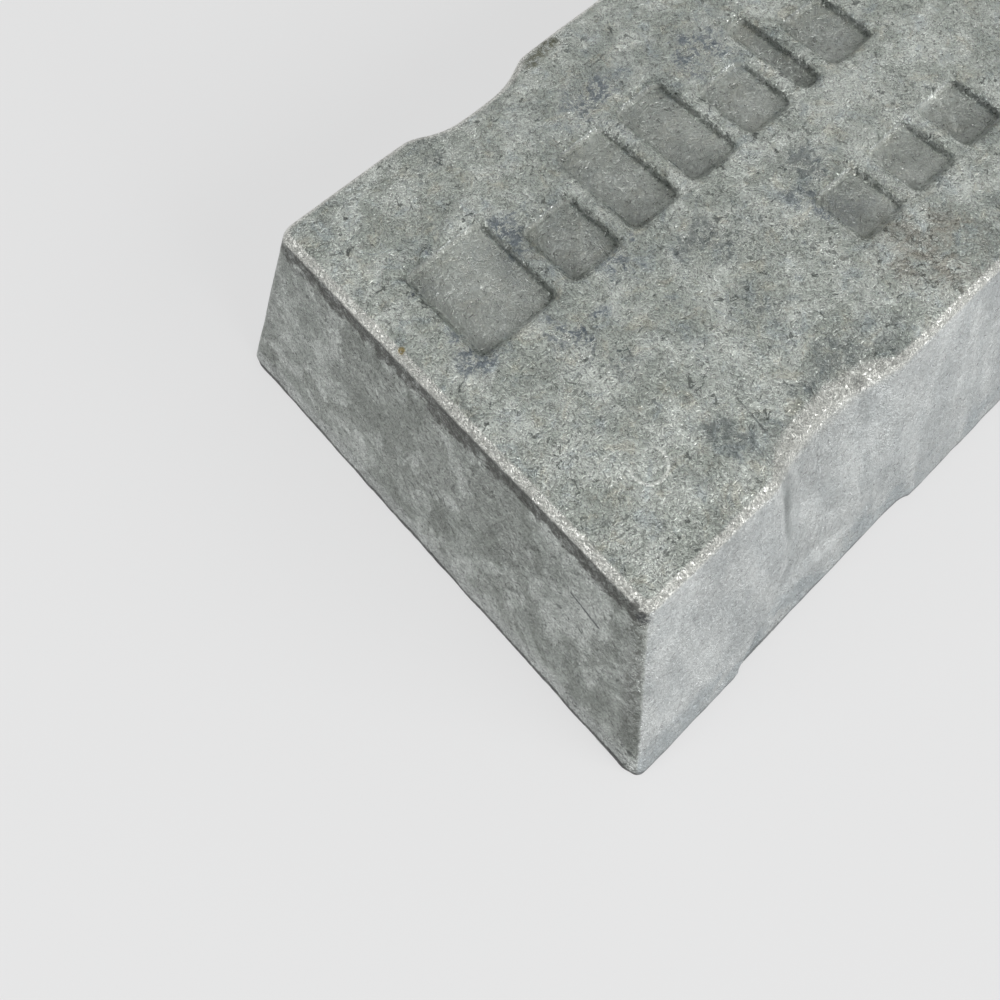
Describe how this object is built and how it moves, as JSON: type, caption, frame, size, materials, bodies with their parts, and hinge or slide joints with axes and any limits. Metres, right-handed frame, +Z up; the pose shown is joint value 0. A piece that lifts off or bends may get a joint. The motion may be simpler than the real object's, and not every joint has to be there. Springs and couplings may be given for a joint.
{
  "type": "zinc ingot",
  "caption": "Cast zinc ingot for remelting, a long block with sloping sides, rounded rims, shallow notches in the long sides and plain sunk pads on top.",
  "frame": {"origin": "middle of the base, on the plane it rests on", "axes": "+X along the ingot, away from the end nearest the start of the large row of pads; +Y across it, towards the large row; +Z up"},
  "size_m": [0.336, 0.169, 0.074],
  "materials": {
    "cast_zinc": "as-cast zinc, dull silver grey with a finely rippled skin"
  },
  "bodies": {
    "root": {"ingot": "cast_zinc"}
  },
  "joints": []
}
